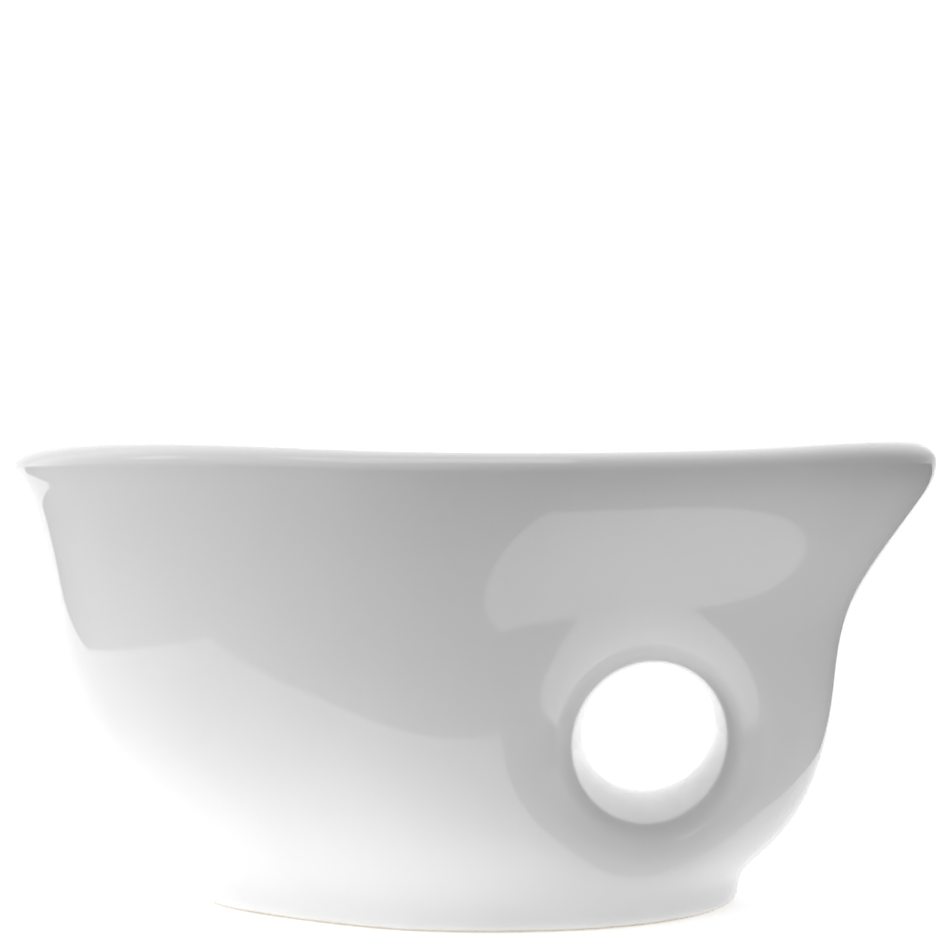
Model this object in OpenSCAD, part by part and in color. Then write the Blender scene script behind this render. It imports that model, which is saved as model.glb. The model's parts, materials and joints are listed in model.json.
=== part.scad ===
// Glazed ceramic yarn bowl with a drawn-out lip and a round hole right through its handle end.
// +X runs from the round back to the lip, +Y is across the bowl and +Z is up.
// The origin is on the table, under the middle of the bowl's outline.

/* [Bowl] */
// Length from the round back to the tip of the lip
bowl_length = 165; // [145:1:200]
// Width that the rim would have if it didn't draw in towards the tip
bowl_width = 121; // [100:1:146]
// Height of the rim at the tip of the lip
bowl_height = 81.7; // [70:0.1:100]
// Thickness of the wall, square to its surface
wall = 4.2; // [3:0.1:5.5]

/* [Rim] */
// Height of the rounded bead at the tip of the lip
bead_height = 4.8; // [3:0.1:7]
// Thickness of the rolled rim, under its bead
rim_thickness = 9.6; // [4.2:0.1:12]
// How much lower the rim is midway along each side than at the tip
rim_dip = 2.1; // [0:0.1:2.4]

/* [Foot] */
// Length of the foot ring
foot_length = 98; // [80:1:118]
// Width of the foot ring
foot_width = 85.6; // [71:0.1:103]
// Height of the foot ring
foot_height = 5; // [3:0.5:8]
// Width of the foot ring's standing face
foot_ring_width = 5; // [3:0.5:6.5]

/* [Floor] */
// Thickness of the floor
floor_thickness = 4.5; // [3.5:0.5:6]

/* [Through hole] */
// Radius of the hole at its waist
hole_radius = 12; // [10:0.1:14.5]
// How much wider the hole's radius is where it reaches the wall than at its waist
hole_flare = 4.3; // [2:0.1:5]
// How much the eased mouth adds to that radius
mouth_ease = 4.5; // [4:0.5:6]
// Distance from the tip of the lip back to the hole's axis
hole_from_tip = 51.3; // [46:0.1:56]
// Height of the hole's axis above the table
hole_height = 30; // [27:0.5:36]
// Thickness of the sleeve round the hole where the hole reaches the wall
sleeve_wall = 1.6; // [1:0.1:1.6]
// Thickness of the handle end's clay over the sleeve
bridge_cover = 3.6; // [2:0.1:5]

/* [Hidden] */

GLAZE = [0.93, 0.93, 0.925];

around = 96;           // points round the bowl
levels = 12;           // rings between the foot and the rim's joint
bead_points = 8;       // points over the bead
round_facets = 96;     // facets of the hole and its mouths
hole_steps = 14;       // rings of the hole on each side of its waist

half_length = bowl_length / 2;
seam_z = bowl_height - bead_height;      // height of the joint between the wall and the bead
floor_top = foot_height + floor_thickness;
floor_inset = wall + 3;                  // from the outside of the foot to the edge of the floor
mouth_radius = hole_radius + hole_flare;
sleeve_radius = mouth_radius + min(sleeve_wall, mouth_ease / 2.8);   // the mouth's edge lies past the sleeve
hole_x = half_length - hole_from_tip;
hole_z = max(hole_height, floor_top + 0.3 + sleeve_radius);    // a wide hole moves up, clear of the floor
bridge_radius = sleeve_radius + bridge_cover;
foot_middle = -1.6;                      // where the foot's middle is, along X
foot_back = foot_middle - foot_length / 2;
foot_front = foot_middle + foot_length / 2;

// Outlines of the outside, as [share of the way up to the rim's joint, share of the way out from the foot].
BACK = [[0, 0], [0.06, 0.083], [0.14, 0.248], [0.25, 0.449], [0.335, 0.571], [0.45, 0.67], [0.65, 0.771],
        [0.86, 0.872], [0.95, 0.946], [1, 1]];
FRONT = [[0, 0.01], [0.06, 0.136], [0.14, 0.283], [0.22, 0.37], [0.33, 0.441], [0.45, 0.481], [0.57, 0.514],
         [0.65, 0.562], [0.73, 0.649], [0.82, 0.775], [0.91, 0.908], [0.96, 0.974], [1, 1]];
SIDE = [[0, 0], [0.06, 0.18], [0.14, 0.38], [0.25, 0.59], [0.36, 0.72], [0.64, 0.86], [1, 1]];
// How far the sides draw in towards the tip at each share of the way up: 0 is an oval and 1 is a point.
PINCH = [[0, -0.03], [0.06, 0.08], [0.15, 0.23], [0.32, 0.42], [0.55, 0.46], [0.8, 0.42], [1, 0.36]];
pinch_start = -0.35;   // where the sides start to draw in, from -1 at the back to 1 at the tip
// The same towards the back, from the middle on: only the foot and the wall just above it draw in there.
BACK_PINCH = [[0, 0.16], [0.2, 0.09], [0.45, 0.01], [0.7, 0], [1, 0]];
// Height of the rim over its lowest stretch, as a share of rim_dip, from -1 at the back to 1 at the tip.
RISE = [[-1, 0.22], [-0.9, 0.42], [-0.8, 0.6], [-0.65, 0.68], [-0.45, 0.5], [-0.2, 0.12], [0, 0], [0.2, 0.01],
        [0.4, 0.12], [0.6, 0.38], [0.8, 0.83], [0.92, 0.98], [1, 1]];
swell_start = 0.78;    // share of the way up where the wall starts to thicken into the rim

// A smooth curve through points [t, value].
function slope(p, i) =
    let(a = max(i - 1, 0), b = min(i + 1, len(p) - 1))
    (p[b][1] - p[a][1]) / (p[b][0] - p[a][0]);
function span(p, t, i = 0) = i >= len(p) - 2 || t < p[i + 1][0] ? i : span(p, t, i + 1);
function curve(p, t) =
    let(i = span(p, t), d = p[i + 1][0] - p[i][0], s = (t - p[i][0]) / d)
    (2 * s^3 - 3 * s^2 + 1) * p[i][1] + (s^3 - 2 * s^2 + s) * slope(p, i) * d
    + (3 * s^2 - 2 * s^3) * p[i + 1][1] + (s^3 - s^2) * slope(p, i + 1) * d;
function blend(a, b, share) = a + (b - a) * share;
function ease(t) = let(s = min(max(t, 0), 1)) s^3 * (6 * s^2 - 15 * s + 10);
function unit(v) = v / norm(v);

// The outside of the bowl, at an angle round it from the tip and a share of the way up to the rim's joint.
function outside(angle, up) =
    let(
        back = blend(foot_back, -half_length, curve(BACK, up)),
        front = blend(foot_front, half_length, curve(FRONT, up)),
        side = blend(foot_width, bowl_width, curve(SIDE, up)) / 2,
        along = cos(angle),
        drawn_in = (1 - curve(PINCH, up) * ease((along - pinch_start) / (1 - pinch_start)))
            * (1 - curve(BACK_PINCH, up) * ease(-along))
    )
    [
        (front + back) / 2 + along * (front - back) / 2,
        side * sin(angle) * drawn_in,
        blend(foot_height, seam_z, up)
    ];

// Unit vectors at a point of the outside: up along the wall, and square out of it.
function along_wall(angle, up) =
    let(step = 0.01, high = min(up + step, 1))
    unit(outside(angle, high) - outside(angle, high - 2 * step));
function out_of_wall(angle, up) =
    unit(cross(outside(angle + 0.5, up) - outside(angle - 0.5, up), along_wall(angle, up)));
function thickness(up) = blend(wall, rim_thickness, ease((up - swell_start) / (1 - swell_start)));
// The inside of the wall, at the same height as the outside.
function inside(angle, up) =
    let(n = out_of_wall(angle, up), flat = [n[0], n[1], 0])
    outside(angle, up) - flat * thickness(up) / (flat * flat);
// The foot's outline, moved in by a distance.
function foot_outline(inset) = [
    for (angle = ANGLES)
        let(n = out_of_wall(angle, 0), flat = unit([n[0], n[1]]), p = outside(angle, 0))
        [p[0], p[1]] - flat * inset
];

// Where the hole's axis comes out of the wall, and which way the wall faces there.
hole_share = (hole_z - foot_height) / (seam_z - foot_height);
hole_front = outside(0, hole_share)[0];
hole_back = outside(180, hole_share)[0];
mouth_angle = acos((2 * hole_x - hole_front - hole_back) / (hole_front - hole_back));
mouth = outside(mouth_angle, hole_share);
mouth_facing = out_of_wall(mouth_angle, hole_share);

ANGLES = [for (i = [0:around - 1]) i * 360 / around];
LEVELS = [for (k = [0:levels]) k / levels];
floor_share = (floor_top - foot_height) / (seam_z - foot_height);
INNER_LEVELS = [for (k = LEVELS) blend(floor_share, 1, k)];

// A closed ring from one cross-section, a list of points, at each angle round the bowl.
module ring(sections) {
    m = len(sections[0]);
    n = len(sections);
    polyhedron(
        points = [for (s = sections) each s],
        faces = [
            for (i = [0:n - 1], j = [0:m - 1])
                let(next = (i + 1) % n, up = (j + 1) % m, a = i * m + j, b = i * m + up, c = next * m + up)
                each [[a, b, c], [a, c, next * m + j]]
        ]
    );
}

// A solid from one outline of points at each level, from the lowest up. The inner one's facets lean the other
// way, so that they are the same facets as the wall's.
module stack(outlines, inner) {
    n = len(outlines[0]);
    top = (len(outlines) - 1) * n;
    polyhedron(
        points = [for (o = outlines) each o],
        faces = [
            for (k = [0:len(outlines) - 2], i = [0:n - 1])
                let(a = k * n + i, b = k * n + (i + 1) % n, c = b + n, d = a + n)
                each inner ? [[a, d, b], [b, d, c]] : [[a, c, b], [a, d, c]],
            [for (i = [0:n - 1]) i],
            [for (i = [n - 1:-1:0]) top + i],
        ]
    );
}

function wall_section(angle) =
    let(n = out_of_wall(angle, 0), p = outside(angle, 0), edge = p - unit([n[0], n[1], 0]) * floor_inset)
    [
        for (k = LEVELS) outside(angle, k),
        for (k = [levels:-1:0]) inside(angle, INNER_LEVELS[k]),
        [edge[0], edge[1], floor_top],
        edge,
    ];

function bead_section(angle) =
    let(
        outer = outside(angle, 1),
        inner = inside(angle, 1),
        rise = [0, 0, bead_height - rim_dip * (1 - curve(RISE, cos(angle)))]
    )
    [
        for (k = [0:bead_points])
            let(t = k * 180 / bead_points)
            (outer + inner) / 2 + (outer - inner) / 2 * cos(t) + rise * sin(t)
    ];

module on_hole() {
    translate([hole_x, 0, hole_z]) rotate([90, 0, 0]) children();
}

module through(radius) {
    on_hole() cylinder(r = radius, h = 2 * bowl_width, center = true, $fn = round_facets);
}

// The hole as the solid that is cut away. It widens from its waist to the walls, and each rounded mouth lies square
// to the wall where the hole's axis comes out of it.
module hole_space() {
    reach = 1.4 * mouth[1];
    on_hole() rotate_extrude($fn = round_facets) polygon([
        [0, -reach],
        for (k = [-hole_steps:hole_steps])
            [hole_radius + hole_flare * (k / hole_steps * reach / mouth[1])^2, k / hole_steps * reach],
        [0, reach]
    ]);
    for (side = [0, 1]) mirror([0, side, 0])
        translate([hole_x, mouth[1], hole_z]) rotate([-90, 0, -atan2(mouth_facing[0], mouth_facing[1])])
            translate([0, 0, -mouth_ease]) rotate_extrude($fn = round_facets) difference() {
                square([mouth_radius + mouth_ease, 3 * mouth_ease]);
                translate([mouth_radius + mouth_ease, 0]) circle(r = mouth_ease, $fn = round_facets);
            }
}

module bowl_wall() {
    color(GLAZE) difference() {
        ring([for (a = ANGLES) wall_section(a)]);
        through(sleeve_radius);
        hole_space();
    }
}

module bowl_floor() {
    color(GLAZE) translate([0, 0, foot_height]) linear_extrude(floor_thickness)
        polygon(foot_outline(floor_inset));
}

// The handle end's clay, from the cavity's end to the wall, up to a little over the sleeve.
module handle_bridge() {
    color(GLAZE) difference() {
        intersection() {
            stack([for (k = INNER_LEVELS) [for (a = ANGLES) inside(a, k)]], true);
            on_hole() linear_extrude(bowl_width, center = true) {
                circle(r = bridge_radius, $fn = round_facets);
                translate([0, -hole_z]) square([bowl_length, hole_z + bridge_radius]);
                translate([-bridge_radius, -hole_z]) square([bowl_length, hole_z]);
            }
        }
        through(sleeve_radius);
        hole_space();
    }
}

module hole_sleeve() {
    color(GLAZE) difference() {
        intersection() {
            stack([for (k = LEVELS) [for (a = ANGLES) outside(a, k)]], false);
            through(sleeve_radius);
        }
        hole_space();
    }
}

module rim_bead() {
    color(GLAZE) ring([for (a = ANGLES) bead_section(a)]);
}

module foot_ring() {
    color(GLAZE) linear_extrude(foot_height) difference() {
        polygon(foot_outline(0));
        polygon(foot_outline(foot_ring_width));
    }
}

bowl_wall();
bowl_floor();
handle_bridge();
hole_sleeve();
rim_bead();
foot_ring();
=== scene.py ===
"""A glazed white porcelain yarn bowl with a drawn-out lip and a hole right through its handle end.

The bowl's clay is one smooth shape, given by a rule: how far a point is inside or outside it. A skin is laid
over that rule and parted into six regions, which then share their shading where they meet. The real bowl is
one piece of clay, so the parting is only for the model.
"""
import json
import math

import bpy
import numpy as np
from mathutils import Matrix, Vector

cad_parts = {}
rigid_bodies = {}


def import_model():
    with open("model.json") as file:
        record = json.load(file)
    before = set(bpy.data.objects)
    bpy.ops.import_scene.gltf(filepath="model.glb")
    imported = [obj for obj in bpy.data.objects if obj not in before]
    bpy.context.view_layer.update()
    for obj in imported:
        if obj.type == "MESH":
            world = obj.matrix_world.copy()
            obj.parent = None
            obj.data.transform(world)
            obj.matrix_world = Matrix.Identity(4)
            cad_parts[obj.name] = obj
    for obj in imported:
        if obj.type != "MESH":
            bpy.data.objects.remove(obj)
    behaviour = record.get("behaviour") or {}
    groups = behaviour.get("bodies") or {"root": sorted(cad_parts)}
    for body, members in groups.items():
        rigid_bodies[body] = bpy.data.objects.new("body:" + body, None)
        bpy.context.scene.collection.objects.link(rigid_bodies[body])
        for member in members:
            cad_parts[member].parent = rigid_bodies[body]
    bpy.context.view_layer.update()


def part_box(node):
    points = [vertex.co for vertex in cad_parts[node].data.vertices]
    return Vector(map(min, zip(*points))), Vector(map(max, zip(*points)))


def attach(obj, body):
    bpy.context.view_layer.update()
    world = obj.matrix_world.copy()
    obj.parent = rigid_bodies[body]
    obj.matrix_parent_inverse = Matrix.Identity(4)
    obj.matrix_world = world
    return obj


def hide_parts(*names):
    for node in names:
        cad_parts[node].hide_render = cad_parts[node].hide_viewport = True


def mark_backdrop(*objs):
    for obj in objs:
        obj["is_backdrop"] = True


bl_info = {
    "name": "Porcelain Yarn Bowl",
    "version": (1, 0, 0),
    "blender": (4, 5, 0),
    "location": "View3D > Sidebar > Yarn Bowl",
    "description": "Builds a glazed yarn bowl and the studio that it stands in",
    "category": "Object",
}

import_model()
MM = 0.001

RIM_LOW, RIM_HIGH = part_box("rim_bead")
SEAM = RIM_LOW.z                          # height of the joint between the wall and the rim bead
FOOT_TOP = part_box("foot_ring")[1].z
FOOT_LOW, FOOT_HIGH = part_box("foot_ring")
FLOOR_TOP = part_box("bowl_floor")[1].z
SLEEVE_LOW, SLEEVE_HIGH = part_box("hole_sleeve")
HOLE_X = (SLEEVE_LOW.x + SLEEVE_HIGH.x) / 2
HOLE_Z = (SLEEVE_LOW.z + SLEEVE_HIGH.z) / 2
SLEEVE_RADIUS = (SLEEVE_HIGH.z - SLEEVE_LOW.z) / 2
BRIDGE_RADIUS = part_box("handle_bridge")[1].z - HOLE_Z
LOW, HIGH = Vector((RIM_LOW.x, RIM_LOW.y, FOOT_LOW.z)), RIM_HIGH

# Outlines of the outside, as (share of the way up from the foot to the rim's joint, share of the way out).
# Shares below 0 are the foot's own side.
BACK = [(-0.07, -0.042), (-0.03, -0.015), (0, 0), (0.06, 0.083), (0.14, 0.248), (0.25, 0.449), (0.335, 0.571),
        (0.45, 0.67), (0.65, 0.771), (0.86, 0.872), (0.95, 0.946), (1, 1), (1.04, 1.0), (1.08, 0.98)]
FRONT = [(-0.07, -0.02), (-0.03, -0.01), (0, 0.01), (0.06, 0.136), (0.14, 0.283), (0.22, 0.37),
         (0.33, 0.441), (0.45, 0.481), (0.57, 0.514), (0.65, 0.562), (0.73, 0.649), (0.82, 0.775),
         (0.91, 0.908), (0.96, 0.974), (1, 1), (1.04, 0.998), (1.08, 0.985)]
SIDE = [(-0.07, -0.05), (0, 0.01), (0.06, 0.16), (0.14, 0.38), (0.25, 0.59), (0.36, 0.72), (0.64, 0.86),
        (1, 1), (1.08, 1)]
# How far the sides draw in towards the tip: 0 is an oval and 1 is a point.
PINCH = [(-0.07, -0.07), (0, -0.03), (0.06, 0.08), (0.15, 0.23), (0.32, 0.42), (0.55, 0.46),
         (0.8, 0.42), (1, 0.36), (1.08, 0.35)]
PINCH_START = -0.35
# The same towards the back, from the middle on.
BACK_PINCH = [(-0.07, 0.18), (0, 0.16), (0.2, 0.09), (0.45, 0.01), (0.7, 0), (1.08, 0)]
# Height of the rim over its lowest stretch, as a share of the dip, from the back at -1 to the tip at 1.
RISE = [(-1, 0.22), (-0.9, 0.42), (-0.8, 0.6), (-0.65, 0.68), (-0.45, 0.5), (-0.2, 0.12), (0, 0), (0.2, 0.01),
        (0.4, 0.12), (0.6, 0.38), (0.8, 0.83), (0.92, 0.98), (1, 1)]
FOOT_MIDDLE = -1.6 * MM
FOOT_HALF = FOOT_MIDDLE - FOOT_LOW.x
FOOT_SIDE = 42.8 * MM
RIM_SIDE = 60.5 * MM
MOUTH_Y = 40 * MM                         # how far out the hole has its mouth radius
SKIN_DEPTH = 0.25 * MM                    # a face nearer the clay's surface than this may be part of it
SKIN_FACING = 0.55                        # and it is, if it faces the surface's own way by this cosine
REACH_LIMIT = 12 * MM                     # the bridge's rounded corners reach about 9 mm past its node


# ---------------------------------------------------------------- sizes and colours


class YarnBowlSizes(bpy.types.PropertyGroup):
    """Sizes that the CAD parts don't give by their boxes"""

    wall: bpy.props.FloatProperty(
        name="Wall", description="Thickness of the wall", default=4.2 * MM, unit="LENGTH")
    hole_radius: bpy.props.FloatProperty(
        name="Hole radius", description="Radius of the hole at its waist", default=12 * MM, unit="LENGTH")
    mouth_radius: bpy.props.FloatProperty(
        name="Mouth radius", description="Radius that the hole has opened to where it meets the wall",
        default=16.3 * MM, unit="LENGTH")
    mouth_blend: bpy.props.FloatProperty(
        name="Mouth easing", description="How far from the hole's edge its mouths start to round over",
        default=9 * MM, unit="LENGTH")
    inner_blend: bpy.props.FloatProperty(
        name="Inner easing", description="How far from a corner inside the bowl the clay starts to curve",
        default=12 * MM, unit="LENGTH")
    rim_dip: bpy.props.FloatProperty(
        name="Rim dip", description="How much lower the rim is midway along each side than at the tip",
        default=2.1 * MM, unit="LENGTH")
    rim_round: bpy.props.FloatProperty(
        name="Rim rounding", description="Height over which the rim rounds over", default=3.5 * MM,
        unit="LENGTH")
    rim_wall: bpy.props.FloatProperty(
        name="Rim thickness", description="Thickness of the rolled rim", default=9.6 * MM, unit="LENGTH")
    rim_swell: bpy.props.FloatProperty(
        name="Rim swell", description="Height over which the wall thickens into the rim", default=16 * MM,
        unit="LENGTH")
    foot_ring: bpy.props.FloatProperty(
        name="Foot ring", description="Width of the foot ring", default=5 * MM, unit="LENGTH")
    mesh_step: bpy.props.FloatProperty(
        name="Mesh step", description="Spacing of the skin's points", default=1.0 * MM, unit="LENGTH")


class YarnBowlFinish(bpy.types.PropertyGroup):
    """Colours and gloss of the bowl's glaze and of the darker band along its foot"""

    glaze_colour: bpy.props.StringProperty(
        name="Glaze", description="sRGB hex colour of the glazed porcelain", default="F0F0F0")
    pooled_colour: bpy.props.StringProperty(
        name="Pooled glaze", description="sRGB hex colour where the glaze lies thick", default="EAEAEA")
    foot_band_colour: bpy.props.StringProperty(
        name="Darker foot band", description="sRGB hex colour of the darker band along the foot", default="D9D2C6")
    foot_band_speck_colour: bpy.props.StringProperty(
        name="Foot band specks", description="sRGB hex colour of the grains in the bare clay", default="A79F92")
    glaze_roughness: bpy.props.FloatProperty(
        name="Glaze roughness", description="Roughness of the fired glaze", default=0.06, min=0, max=1,
        subtype="FACTOR")


class YarnBowlStudio(bpy.types.PropertyGroup):
    """The studio's camera and lights"""

    camera_distance: bpy.props.FloatProperty(
        name="Camera distance", description="From the camera to the bowl's middle plane",
        default=522 * MM, unit="LENGTH")
    camera_height: bpy.props.FloatProperty(
        name="Camera height", description="Height of the camera above the table", default=79 * MM,
        unit="LENGTH")
    lens: bpy.props.FloatProperty(
        name="Lens", description="Focal length of the camera", default=110, unit="CAMERA")
    floor_colour: bpy.props.StringProperty(
        name="Floor", description="sRGB hex colour of the studio floor", default="FFFFFF")
    sheet_glow: bpy.props.FloatProperty(
        name="Sheet glow", description="Light that the paper under the bowl gives by itself", default=0.4)
    sweep_glow: bpy.props.FloatProperty(
        name="Sweep glow", description="Light that the paper behind the bowl gives by itself", default=0.5)
    overhead: bpy.props.FloatProperty(
        name="Overhead softbox", description="Power of the overhead softbox", default=2.2, unit="POWER")
    left: bpy.props.FloatProperty(
        name="Left softbox", description="Power of the left softbox", default=0.6, unit="POWER")
    front: bpy.props.FloatProperty(
        name="Front softbox", description="Power of the high front softbox", default=2.8, unit="POWER")
    room_dim: bpy.props.FloatProperty(
        name="Room", description="Brightness of the room in front", default=0.33)
    room_left: bpy.props.FloatProperty(
        name="Room, left", description="How much brighter the room is to the left", default=0.8)
    room_back: bpy.props.FloatProperty(
        name="Room, back", description="How much brighter the room is behind", default=0.65)


# ---------------------------------------------------------------- the clay's shape


def spline(points):
    """A curve through (place, value) points whose bend changes smoothly, as a function of places."""
    place, value = np.array(points, float).T
    gap = np.diff(place)
    count = len(place)
    system, right = np.eye(count), np.zeros(count)
    for i in range(1, count - 1):
        system[i, i - 1:i + 2] = gap[i - 1], 2 * (gap[i - 1] + gap[i]), gap[i]
        right[i] = 6 * ((value[i + 1] - value[i]) / gap[i] - (value[i] - value[i - 1]) / gap[i - 1])
    bend = np.linalg.solve(system, right)

    def curve(at):
        at = np.asarray(at, float)
        i = np.clip(np.searchsorted(place, at) - 1, 0, count - 2)
        inside = np.clip(at, place[0], place[-1])
        d, a, b = gap[i], place[i + 1] - inside, inside - place[i]
        y = (bend[i] * a**3 + bend[i + 1] * b**3) / (6 * d)
        y += (value[i] / d - bend[i] * d / 6) * a + (value[i + 1] / d - bend[i + 1] * d / 6) * b
        slope = (bend[i + 1] * b**2 - bend[i] * a**2) / (2 * d)
        slope += (value[i + 1] - value[i]) / d - (bend[i + 1] - bend[i]) * d / 6
        return y + slope * (at - inside)

    return curve


def ease(t):
    """0 up to t = 0, 1 from t = 1 on, and a smooth step between."""
    t = np.clip(t, 0, 1)
    return t**3 * (6 * t**2 - 15 * t + 10)


def rounded_max(a, b, reach):
    """The larger of two distances, with the corner between them rounded within reach."""
    near = np.maximum(reach - np.abs(a - b), 0) / reach
    return np.maximum(a, b) + near**2 * reach / 4


class Clay:
    """The bowl's clay. Each distance is in metres, and below zero inside what it is named for."""

    def __init__(self, sizes):
        self.sizes = sizes
        self.curves = [spline(p) for p in (BACK, FRONT, SIDE, PINCH, BACK_PINCH)]
        self.rise = spline(RISE)

    def oval(self, x, y, z):
        """Where a point is in its level's outline: 0 on it, -1 at its middle."""
        up = (z - FOOT_TOP) / (SEAM - FOOT_TOP)
        back, front, side, pinch, back_pinch = (curve(up) for curve in self.curves)
        back = FOOT_LOW.x + (RIM_LOW.x - FOOT_LOW.x) * back
        front = FOOT_MIDDLE + FOOT_HALF + (RIM_HIGH.x - FOOT_MIDDLE - FOOT_HALF) * front
        side = FOOT_SIDE + (RIM_SIDE - FOOT_SIDE) * side
        along = (2 * x - front - back) / (front - back)
        drawn_in = 1 - pinch * ease((along - PINCH_START) / (1 - PINCH_START))
        across = y / (side * drawn_in * (1 - back_pinch * ease(-along)))
        return np.sqrt(along**2 + across**2) - 1

    def outside(self, x, y, z):
        """How far a point is outside the bowl's outer form."""
        e = 0.05 * MM
        dx = self.oval(x + e, y, z) - self.oval(x - e, y, z)
        dy = self.oval(x, y + e, z) - self.oval(x, y - e, z)
        dz = self.oval(x, y, z + e) - self.oval(x, y, z - e)
        return self.oval(x, y, z) * 2 * e / np.sqrt(dx**2 + dy**2 + dz**2)

    def bridge(self, x, z):
        """How far a point is outside the hump over the hole, seen from the side."""
        left, above = HOLE_X - x, z - HOLE_Z
        corner = np.hypot(np.maximum(left, 0), np.maximum(above, 0))
        return corner + np.minimum(np.maximum(left, above), 0) - BRIDGE_RADIUS

    def rim_height(self, x):
        along = np.clip(2 * (x - RIM_LOW.x) / (RIM_HIGH.x - RIM_LOW.x) - 1, -1, 1)
        return RIM_HIGH.z - self.sizes.rim_dip * (1 - self.rise(along))

    def inner(self, x, y, z):
        """How far a point is outside the wall's inner side, as if the bowl were solid from table to tip."""
        middle = (LOW.z + HIGH.z) / 2
        return np.maximum(self.outside(x, y, z) + self.sizes.wall, np.abs(z - middle) - (HIGH.z - middle))

    def thickness(self, z):
        """The wall's thickness at a height: it swells into a thick rolled rim."""
        s = self.sizes
        return s.wall + (s.rim_wall - s.wall) * ease((z - SEAM) / s.rim_swell + 1)

    def whole(self, x, y, z):
        """How far a point is outside the bowl's clay."""
        s = self.sizes
        form = self.outside(x, y, z)
        reach = s.hole_radius + (s.mouth_radius - s.hole_radius) * (y / MOUTH_Y) ** 2
        tilt = np.cos(np.arctan(2 * (reach - s.hole_radius) / MOUTH_Y))
        hole = (reach - np.hypot(x - HOLE_X, z - HOLE_Z)) * tilt
        outer = rounded_max(form, hole, s.mouth_blend)
        wall = self.thickness(z)
        cavity = rounded_max(form + wall, FLOOR_TOP - z, s.inner_blend)
        cavity = rounded_max(cavity, -self.bridge(x, z), s.inner_blend)
        over = np.maximum(z - self.rim_height(x) + s.rim_round, 0) * wall / 2 / s.rim_round
        clay = (outer - cavity) / 2 + np.hypot((outer + cavity) / 2, over)
        under = rounded_max(form + s.foot_ring, z - FOOT_TOP, 3 * MM)
        clay = rounded_max(clay, -under, 2 * MM)
        return rounded_max(clay, -z, 2 * MM)


def facing(distance, points):
    """Unit vectors out of the surface that a distance gives, at points near it."""
    e = 0.1 * MM
    steps = np.eye(3) * e
    slope = np.stack([distance(*(points + d).T) - distance(*(points - d).T) for d in steps], 1)
    return slope / np.linalg.norm(slope, axis=1, keepdims=True)


def skin(distance, low, high, step):
    """Points and four-sided faces of the surface where a distance is zero, inside a box."""
    sides = [np.arange(a - 2 * step, b + 3 * step, step) for a, b in zip(low, high)]
    values = distance(sides[0][:, None, None], sides[1][None, :, None], sides[2][None, None, :])
    inside = values < 0
    corners = sum(
        inside[i:i + len(sides[0]) - 1, j:j + len(sides[1]) - 1, k:k + len(sides[2]) - 1].astype(np.int8)
        for i in (0, 1) for j in (0, 1) for k in (0, 1))
    cells = np.argwhere((corners > 0) & (corners < 8))
    index = np.full(corners.shape, -1)
    index[tuple(cells.T)] = np.arange(len(cells))
    total, hits = np.zeros((len(cells), 3)), np.zeros((len(cells), 1))
    units = np.eye(3, dtype=int)
    for axis in range(3):
        for a in (0, 1):
            for b in (0, 1):
                start = a * units[(axis + 1) % 3] + b * units[(axis + 2) % 3]
                first = values[tuple((cells + start).T)]
                second = values[tuple((cells + start + units[axis]).T)]
                crossed = (first < 0) != (second < 0)
                share = np.where(crossed, first / np.where(crossed, first - second, 1), 0)
                total += crossed[:, None] * (start + share[:, None] * units[axis])
                hits += crossed[:, None]
    points = np.array([s[0] for s in sides]) + (cells + total / hits) * step
    faces = []
    for axis in range(3):
        u, v = units[(axis + 1) % 3], units[(axis + 2) % 3]
        first = inside[tuple(slice(0, -1) if i == axis else slice(1, -1) for i in range(3))]
        second = inside[tuple(slice(1, None) if i == axis else slice(1, -1) for i in range(3))]
        for here, order in ((first & ~second, (0, 1, 2, 3)), (~first & second, (3, 2, 1, 0))):
            edge = np.argwhere(here) + 1 - units[axis]
            ring = [edge - u - v, edge - v, edge, edge - u]
            faces.append(np.stack([index[tuple(ring[i].T)] for i in order], 1))
    return points, np.concatenate(faces)


def settle(distance, points, rounds=4):
    """Moves points near a surface onto it."""
    out = facing(distance, points)
    for _ in range(rounds):
        points = points - distance(*points.T)[:, None] * out
    return points


def mesh_object(name, points, faces):
    mesh = bpy.data.meshes.new(name)
    mesh.from_pydata(points.tolist(), [], faces if isinstance(faces, list) else faces.tolist())
    mesh.update()
    obj = bpy.data.objects.new(name, mesh)
    bpy.context.scene.collection.objects.link(obj)
    return obj


def plain_mesh(obj):
    """Turns an object with modifiers into a plain mesh."""
    depsgraph = bpy.context.evaluated_depsgraph_get()
    made = bpy.data.meshes.new_from_object(obj.evaluated_get(depsgraph))
    old = obj.data
    obj.modifiers.clear()
    obj.data = made
    made.name = obj.name
    bpy.data.meshes.remove(old)
    return obj


def part(source, name, keep=(), take_off=()):
    """A copy of the source: what is inside each solid in keep, less the solids in take_off."""
    piece = source.copy()
    piece.data = source.data.copy()
    piece.name = name
    bpy.context.scene.collection.objects.link(piece)
    for operation, solids in (("INTERSECT", keep), ("DIFFERENCE", take_off)):
        for solid in solids:
            cut = piece.modifiers.new(solid.name, "BOOLEAN")
            cut.operation = operation
            cut.solver = "MANIFOLD"
            cut.object = solid
    return plain_mesh(piece)


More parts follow.
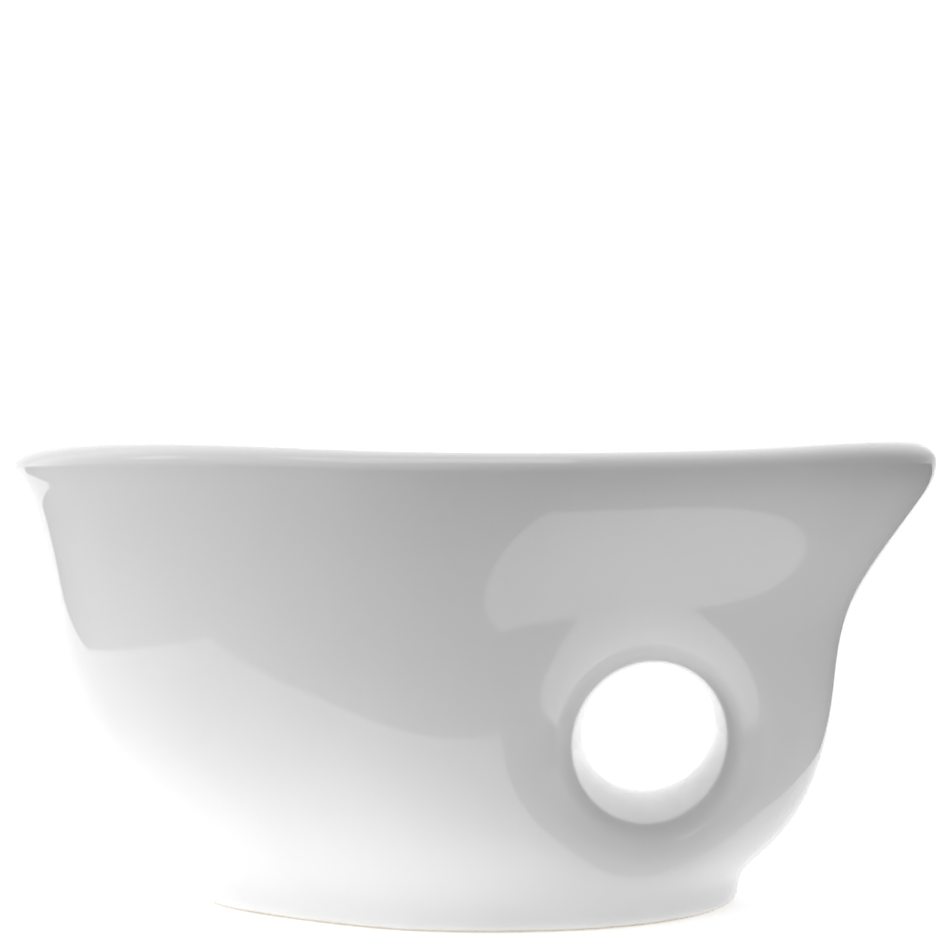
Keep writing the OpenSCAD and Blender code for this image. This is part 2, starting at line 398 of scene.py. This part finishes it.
def shade_as(piece, distance):
    """Shades a piece's outside as the whole clay's surface turns, and its joint faces flat."""
    mesh = piece.data
    count = len(mesh.vertices)
    points = np.empty(count * 3)
    mesh.vertices.foreach_get("co", points)
    points = points.reshape(-1, 3)
    centres, flats = np.empty(len(mesh.polygons) * 3), np.empty(len(mesh.polygons) * 3)
    mesh.polygons.foreach_get("center", centres)
    mesh.polygons.foreach_get("normal", flats)
    centres, flats = centres.reshape(-1, 3), flats.reshape(-1, 3)
    on_skin = np.abs(distance(*centres.T)) < SKIN_DEPTH
    on_skin &= np.einsum("ij,ij->i", flats, facing(distance, centres)) > SKIN_FACING
    sizes = np.empty(len(mesh.polygons), int)
    mesh.polygons.foreach_get("loop_total", sizes)
    corners = np.empty(len(mesh.loops), int)
    mesh.loops.foreach_get("vertex_index", corners)
    smooth = facing(distance, points)[corners]
    normals = np.where(np.repeat(on_skin, sizes)[:, None], smooth, np.repeat(flats, sizes, 0))
    mesh.polygons.foreach_set("use_smooth", np.ones(len(mesh.polygons), bool))
    mesh.normals_split_custom_set(normals.tolist())
    return piece


def box_solid(name, low, high):
    points = np.array([[(low, high)[(i >> a) & 1][a] for a in range(3)] for i in range(8)])
    faces = [(0, 2, 3, 1), (4, 5, 7, 6), (0, 1, 5, 4), (2, 6, 7, 3), (0, 4, 6, 2), (1, 3, 7, 5)]
    return mesh_object(name, points, faces)


def prism_along_y(name, outline, half_width):
    """A solid from an (x, z) outline that turns from +X to +Z, run across the bowl."""
    n = len(outline)
    points = np.array([(x, y, z) for y in (-half_width, half_width) for x, z in outline])
    faces = [tuple(range(n)), tuple(range(2 * n - 1, n - 1, -1))]
    faces += [(i, n + i, n + (i + 1) % n, (i + 1) % n) for i in range(n)]
    return mesh_object(name, points, faces)


def arc(x, z, radius, start, end, count):
    """Points on an arc round (x, z), from one angle in degrees to another."""
    return [(x + radius * math.cos(math.radians(a)), z + radius * math.sin(math.radians(a)))
            for a in np.linspace(start, end, count)]


# ---------------------------------------------------------------- materials


def linear(hex_colour):
    """An sRGB hex colour as linear RGBA."""
    parts = [int(hex_colour[i:i + 2], 16) / 255 for i in (0, 2, 4)]
    return [c / 12.92 if c <= 0.04045 else ((c + 0.055) / 1.055) ** 2.4 for c in parts] + [1]


def add(tree, kind, settings=(), inputs=(), links=()):
    """Adds a node with its settings, its inputs' values and the sockets that feed it."""
    node = tree.nodes.new(kind)
    for name, value in dict(settings).items():
        setattr(node, name, value)
    for name, value in dict(inputs).items():
        node.inputs[name].default_value = value
    for name, source in dict(links).items():
        tree.links.new(source, node.inputs[name])
    return node


def new_material(name):
    material = bpy.data.materials.new(name)
    material.use_nodes = True
    material.node_tree.nodes.clear()
    return material, material.node_tree


def glaze_shader(tree, finish, place):
    """A clear feldspar glaze over a white body. The glaze flowed in patches about 40 mm across before it set,
    so its tone drifts, its surface has slow waves about 14 mm long, and a faint orange peel about 2.5 mm across."""
    flow = add(tree, "ShaderNodeTexNoise", {}, {"Scale": 1 / (40 * MM), "Detail": 2.0, "Roughness": 0.45},
               {"Vector": place}).outputs["Fac"]
    pooled = add(tree, "ShaderNodeMapRange", {"interpolation_type": "SMOOTHSTEP"},
                 {"From Min": 0.42, "From Max": 0.72, "To Min": 0.0, "To Max": 0.6}, {"Value": flow})
    tone = add(tree, "ShaderNodeMix", {"data_type": "RGBA"},
               {6: linear(finish.glaze_colour), 7: linear(finish.pooled_colour)},
               {0: pooled.outputs["Result"]}).outputs[2]
    waves = add(tree, "ShaderNodeTexNoise", {}, {"Scale": 1 / (14 * MM), "Detail": 1.0}, {"Vector": place})
    peel = add(tree, "ShaderNodeTexNoise", {}, {"Scale": 1 / (2.5 * MM), "Detail": 1.0}, {"Vector": place})
    wave_bump = add(tree, "ShaderNodeBump", {}, {"Strength": 1.0, "Distance": 0.012 * MM},
                    {"Height": waves.outputs["Fac"]})
    bump = add(tree, "ShaderNodeBump", {}, {"Strength": 1.0, "Distance": 0.0006 * MM},
               {"Height": peel.outputs["Fac"], "Normal": wave_bump.outputs["Normal"]})
    return add(tree, "ShaderNodeBsdfPrincipled", {}, {"Roughness": finish.glaze_roughness, "IOR": 1.52},
               {"Base Color": tone, "Normal": bump.outputs["Normal"]})


def glazed_porcelain(finish):
    """Glazed porcelain, dipped and fired glossy: sharp reflections that waver a little, over near-white clay."""
    material, tree = new_material("glazed porcelain")
    place = add(tree, "ShaderNodeTexCoord").outputs["Object"]
    shader = glaze_shader(tree, finish, place)
    add(tree, "ShaderNodeOutputMaterial", links={"Surface": shader.outputs["BSDF"]})
    return material


def glazed_foot(finish):
    """Glazed porcelain with a band along its bottom edge: below a wavering line the foot is matt, a little warm,
    grainy and darker than the glaze."""
    material, tree = new_material("glazed porcelain foot")
    place = add(tree, "ShaderNodeTexCoord").outputs["Object"]
    glaze = glaze_shader(tree, finish, place)
    # Grains about 0.6 mm across.
    grain = add(tree, "ShaderNodeTexNoise", {}, {"Scale": 1 / (0.6 * MM), "Detail": 3.0}, {"Vector": place})
    specks = add(tree, "ShaderNodeMapRange", {},
                 {"From Min": 0.5, "From Max": 0.75, "To Min": 0.0, "To Max": 0.5},
                 {"Value": grain.outputs["Fac"]})
    # The band's colour: darker and warmer than the glaze, along the foot's bottom edge where it meets the paper.
    tone = add(tree, "ShaderNodeMix", {"data_type": "RGBA"},
               {6: linear(finish.foot_band_colour), 7: linear(finish.foot_band_speck_colour)},
               {0: specks.outputs["Result"]}).outputs[2]
    bump = add(tree, "ShaderNodeBump", {}, {"Strength": 0.6, "Distance": 0.05 * MM},
               {"Height": grain.outputs["Fac"]})
    darker = add(tree, "ShaderNodeBsdfPrincipled", {}, {"Roughness": 0.75, "IOR": 1.5},
               {"Base Color": tone, "Normal": bump.outputs["Normal"]})
    # The darker band reaches about 0.5 mm up, to a line that wavers over about 9 mm.
    waver = add(tree, "ShaderNodeTexNoise", {}, {"Scale": 1 / (9 * MM), "Detail": 2.0}, {"Vector": place})
    height = add(tree, "ShaderNodeSeparateXYZ", links={"Vector": place}).outputs["Z"]
    edge = add(tree, "ShaderNodeMapRange", {}, {"To Min": 0.2 * MM, "To Max": 0.8 * MM},
               {"Value": waver.outputs["Fac"]})
    above = add(tree, "ShaderNodeMath", {"operation": "SUBTRACT"}, {}, {0: height, 1: edge.outputs["Result"]})
    glazed = add(tree, "ShaderNodeMapRange", {}, {"From Min": -0.1 * MM, "From Max": 0.1 * MM},
                 {"Value": above.outputs["Value"]})
    both = add(tree, "ShaderNodeMixShader", {}, {},
               {0: glazed.outputs["Result"], 1: darker.outputs["BSDF"], 2: glaze.outputs["BSDF"]})
    add(tree, "ShaderNodeOutputMaterial", links={"Surface": both.outputs["Shader"]})
    return material


MADE = {}


def dress(piece, node, maker, finish):
    """Gives a piece its material, lets it stand for its CAD node, and sets it on the bowl's body."""
    material = MADE.get(maker) or MADE.setdefault(maker, maker(finish))
    piece.data.materials.clear()
    piece.data.materials.append(material)
    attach(piece, "root")
    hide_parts(node)
    return piece


# ---------------------------------------------------------------- operators


def take(context, name):
    """An object that an earlier operator made."""
    found = bpy.data.objects.get(name)
    if found is None:
        raise RuntimeError(f"{name} isn't there: run the operators in the panel's order")
    return found


class YARNBOWL_OT_clay(bpy.types.Operator):
    """Lay a skin over the whole bowl's clay, and make the solids that part it"""

    bl_idname = "yarnbowl.clay"
    bl_label = "Clay"

    def execute(self, context):
        sizes = context.scene.yarn_bowl_sizes
        clay = Clay(sizes)
        points, faces = skin(clay.whole, LOW, HIGH, sizes.mesh_step)
        mesh_object("clay_whole", settle(clay.whole, points), faces)
        points, faces = skin(clay.inner, LOW, HIGH, 2 * sizes.mesh_step)
        mesh_object("clay_inner", settle(clay.inner, points), faces)
        low, high = LOW - Vector([10 * MM] * 3), HIGH + Vector([10 * MM] * 3)
        handle = HOLE_X - BRIDGE_RADIUS - 9 * MM
        box_solid("space_foot", low, (high.x, high.y, FOOT_TOP))
        box_solid("space_floor", (low.x, low.y, FOOT_TOP), (high.x, high.y, FLOOR_TOP))
        box_solid("space_middle", (low.x, low.y, FOOT_TOP), (high.x, high.y, SEAM))
        box_solid("space_rim", (low.x, low.y, SEAM), high)
        hump_top = HOLE_Z + BRIDGE_RADIUS + 8 * MM
        box_solid("space_handle", (handle, low.y, FLOOR_TOP), (high.x, high.y, hump_top))
        prism_along_y("space_sleeve", arc(HOLE_X, HOLE_Z, SLEEVE_RADIUS, 0, 360, 145)[:-1], high.y)
        return {"FINISHED"}


def check_cut(piece, node):
    """Stops if a piece isn't closed, or reaches well past its node, as it does when a cut has failed."""
    sides = np.zeros(len(piece.data.edges), int)
    edges = np.empty(len(piece.data.loops), int)
    piece.data.loops.foreach_get("edge_index", edges)
    np.add.at(sides, edges, 1)
    if not len(sides) or (sides != 2).any():
        raise RuntimeError(f"{piece.name} isn't a closed solid")
    points = np.empty(len(piece.data.vertices) * 3)
    piece.data.vertices.foreach_get("co", points)
    points = points.reshape(-1, 3)
    low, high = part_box(node)
    past = max((np.array(low) - points.min(0)).max(), (points.max(0) - np.array(high)).max())
    if past > REACH_LIMIT:
        raise RuntimeError(f"{piece.name} reaches {past / MM:.1f} mm past {node}: a cut has failed")


def make_piece(context, node, keep, take_off=()):
    """Parts one region out of the clay and finishes it."""
    clay = Clay(context.scene.yarn_bowl_sizes)
    solids = [[take(context, name) for name in names] for names in (keep, take_off)]
    piece = part(take(context, "clay_whole"), node.replace("_", "-"), *solids)
    check_cut(piece, node)
    shade_as(piece, clay.whole)
    maker = glazed_foot if node == "foot_ring" else glazed_porcelain
    return dress(piece, node, maker, context.scene.yarn_bowl_finish)


class YARNBOWL_OT_wall(bpy.types.Operator):
    """Make the bowl's wall"""

    bl_idname = "yarnbowl.wall"
    bl_label = "Wall"

    def execute(self, context):
        core = part(take(context, "clay_inner"), "space_core", [take(context, "space_handle")])
        base = part(take(context, "clay_inner"), "space_base", [take(context, "space_floor")])
        inside = ["space_sleeve", core.name, base.name]
        make_piece(context, "bowl_wall", ["space_middle"], inside)
        return {"FINISHED"}


class YARNBOWL_OT_rim(bpy.types.Operator):
    """Make the rounded bead along the rim"""

    bl_idname = "yarnbowl.rim"
    bl_label = "Rim Bead"

    def execute(self, context):
        make_piece(context, "rim_bead", ["space_rim"])
        return {"FINISHED"}


class YARNBOWL_OT_handle(bpy.types.Operator):
    """Make the hole's sleeve and the clay that bridges the handle end inside the bowl"""

    bl_idname = "yarnbowl.handle"
    bl_label = "Hole Sleeve and Bridge"

    def execute(self, context):
        make_piece(context, "hole_sleeve", ["space_sleeve"])
        make_piece(context, "handle_bridge", ["space_core"], ["space_sleeve"])
        return {"FINISHED"}


class YARNBOWL_OT_base(bpy.types.Operator):
    """Make the bowl's floor and the foot ring that it stands on"""

    bl_idname = "yarnbowl.base"
    bl_label = "Floor and Foot Ring"

    def execute(self, context):
        make_piece(context, "bowl_floor", ["space_base"])
        make_piece(context, "foot_ring", ["space_foot"])
        return {"FINISHED"}


class YARNBOWL_OT_clear(bpy.types.Operator):
    """Throw away the clay and the solids that parted it"""

    bl_idname = "yarnbowl.clear"
    bl_label = "Clear Construction"

    def execute(self, context):
        for obj in list(bpy.data.objects):
            if obj.name.startswith(("clay_", "space_")):
                mesh = obj.data
                bpy.data.objects.remove(obj)
                bpy.data.meshes.remove(mesh)
        return {"FINISHED"}


def area_light(name, place, target, size, power, colour=(1, 1, 1)):
    light = bpy.data.lights.new(name, "AREA")
    light.shape = "RECTANGLE"
    light.size, light.size_y = size
    light.energy = power
    light.color = colour
    obj = bpy.data.objects.new(name, light)
    obj.location = place
    obj.rotation_euler = (Vector(target) - Vector(place)).to_track_quat("-Z", "Y").to_euler()
    bpy.context.scene.collection.objects.link(obj)
    return obj


def studio_paper(name, colour, glow):
    """Seamless studio paper. Its glow stands for the lamps under and behind it, so that it shows no shade."""
    material, tree = new_material(name)
    place = add(tree, "ShaderNodeTexCoord").outputs["Object"]
    fibre = add(tree, "ShaderNodeTexNoise", {}, {"Scale": 1 / (3 * MM)}, {"Vector": place})
    bump = add(tree, "ShaderNodeBump", {}, {"Strength": 0.2, "Distance": 0.02 * MM},
               {"Height": fibre.outputs["Fac"]})
    shader = add(tree, "ShaderNodeBsdfPrincipled", {},
                 {"Base Color": linear(colour), "Roughness": 0.9, "Emission Color": linear(colour),
                  "Emission Strength": glow}, {"Normal": bump.outputs["Normal"]})
    add(tree, "ShaderNodeOutputMaterial", links={"Surface": shader.outputs["BSDF"]})
    return material


def paper_sheet(name, rows, material):
    """A sheet of paper through rows of (left edge, right edge, y, z)."""
    points = [(x, y, z) for left, right, y, z in rows for x in (left, right)]
    faces = [(2 * i, 2 * i + 1, 2 * i + 3, 2 * i + 2) for i in range(len(rows) - 1)]
    sheet = mesh_object(name, np.array(points), faces)
    sheet.data.polygons.foreach_set("use_smooth", [True] * len(faces))
    sheet.data.materials.append(material)
    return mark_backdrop(sheet)


def studio_room(context, dim, left, back):
    """The room that the glaze mirrors: dim in front, and lighter to the left and to the back."""
    world = bpy.data.worlds.new("studio room")
    world.use_nodes = True
    tree = world.node_tree
    tree.nodes.clear()
    way = add(tree, "ShaderNodeTexCoord").outputs["Generated"]
    parts = add(tree, "ShaderNodeSeparateXYZ", links={"Vector": way}).outputs
    left_part = add(tree, "ShaderNodeMapRange", {"interpolation_type": "SMOOTHSTEP"},
                    {"From Min": -0.1, "From Max": -0.95, "To Min": 0, "To Max": left}, {"Value": parts["X"]})
    back_part = add(tree, "ShaderNodeMapRange", {"interpolation_type": "SMOOTHSTEP"},
                    {"From Min": 0, "From Max": 0.8, "To Min": dim, "To Max": dim + back},
                    {"Value": parts["Y"]})
    both = add(tree, "ShaderNodeMath", {"operation": "ADD"}, {},
               {0: left_part.outputs["Result"], 1: back_part.outputs["Result"]})
    light = add(tree, "ShaderNodeBackground", {}, {"Color": (1, 1, 1, 1)}, {"Strength": both.outputs["Value"]})
    add(tree, "ShaderNodeOutputWorld", links={"Surface": light.outputs["Background"]})
    context.scene.world = world


class YARNBOWL_OT_stage(bpy.types.Operator):
    """Set up the paper, the lights and the camera"""

    bl_idname = "yarnbowl.stage"
    bl_label = "Studio"

    def execute(self, context):
        studio = context.scene.yarn_bowl_studio
        near = studio_paper("white paper sheet", studio.floor_colour, studio.sheet_glow)
        far = studio_paper("white paper sweep", studio.floor_colour, studio.sweep_glow)
        # The table's grey is painted shade: it makes the floor past the paper, which the glaze mirrors, darker by
        # its colour instead of by less light falling on it.
        grey = studio_paper("grey felt table", "5A5A5A", 0.0)
        back_edge = (-0.32, 0.22, 0.3, 0)
        paper_sheet("studio-sheet", [(-0.23, 0.13, -0.14, 0), (-0.24, 0.14, 0.1, 0), back_edge], near)
        bend = arc(1.2, 0.5, 0.5, -90, 0, 16)
        rows = [back_edge, (-0.9, 0.9, 1.0, 0)]
        rows += [(-1.2 - k, 1.2 + k, y, z) for k, (y, z) in zip(np.linspace(0, 0.6, 16), bend)]
        paper_sheet("studio-sweep", rows + [(-1.8, 1.8, 1.7, 2.0)], far)
        # The table: a grey floor of painted shade past the paper.
        paper_sheet("studio-table", [(-3, 3, -3, -0.002), (-3, 3, 3, -0.002)], grey)
        black = studio_paper("black flag card", "141414", 0.0)
        paper_sheet("studio-flag", [(-1, 1, -0.8, 0), (-1, 1, -0.8, 0.26)], black)
        area_light("overhead softbox", (0.05, -0.1, 1.1), (0, 0, 0), (1.0, 0.5), studio.overhead)
        area_light("left softbox", (-1.0, -0.15, 0.9), (0, 0, 0.04), (0.3, 0.4), studio.left)
        area_light("front softbox", (-0.4, -0.9, 1.1), (0, 0, 0.04), (1.8, 1.2), studio.front)
        studio_room(context, studio.room_dim, studio.room_left, studio.room_back)
        context.scene.view_settings.view_transform = "Standard"

        camera = bpy.data.objects.new("camera", bpy.data.cameras.new("camera"))
        camera.data.lens = studio.lens
        camera.data.shift_y = -0.02
        camera.location = (-0.23 * MM, -studio.camera_distance, studio.camera_height)
        camera.rotation_euler = (math.radians(90), 0, 0)
        context.scene.collection.objects.link(camera)
        context.scene.camera = camera
        return {"FINISHED"}


class YARNBOWL_PT_panel(bpy.types.Panel):
    """Lists the bowl's operators in their order, with its sizes and colours"""

    bl_idname = "YARNBOWL_PT_panel"
    bl_label = "Yarn Bowl"
    bl_space_type = "VIEW_3D"
    bl_region_type = "UI"
    bl_category = "Yarn Bowl"

    def draw(self, context):
        column = self.layout.column()
        for operator in OPERATORS:
            column.operator(operator.bl_idname)
        for name, group in SETTINGS.items():
            for prop in group.__annotations__:
                column.prop(getattr(context.scene, name), prop)


SETTINGS = {"yarn_bowl_sizes": YarnBowlSizes, "yarn_bowl_finish": YarnBowlFinish,
            "yarn_bowl_studio": YarnBowlStudio}
OPERATORS = [YARNBOWL_OT_clay, YARNBOWL_OT_wall, YARNBOWL_OT_rim, YARNBOWL_OT_handle, YARNBOWL_OT_base,
             YARNBOWL_OT_clear, YARNBOWL_OT_stage]


def register():
    for kind in [*SETTINGS.values(), *OPERATORS, YARNBOWL_PT_panel]:
        bpy.utils.register_class(kind)
    for name, group in SETTINGS.items():
        setattr(bpy.types.Scene, name, bpy.props.PointerProperty(type=group))


def unregister():
    for name in SETTINGS:
        delattr(bpy.types.Scene, name)
    for kind in [YARNBOWL_PT_panel, *OPERATORS, *reversed(SETTINGS.values())]:
        bpy.utils.unregister_class(kind)


def main():
    register()
    for operator in OPERATORS:
        area, action = operator.bl_idname.split(".")
        getattr(getattr(bpy.ops, area), action)()


if __name__ == "__main__":
    main()
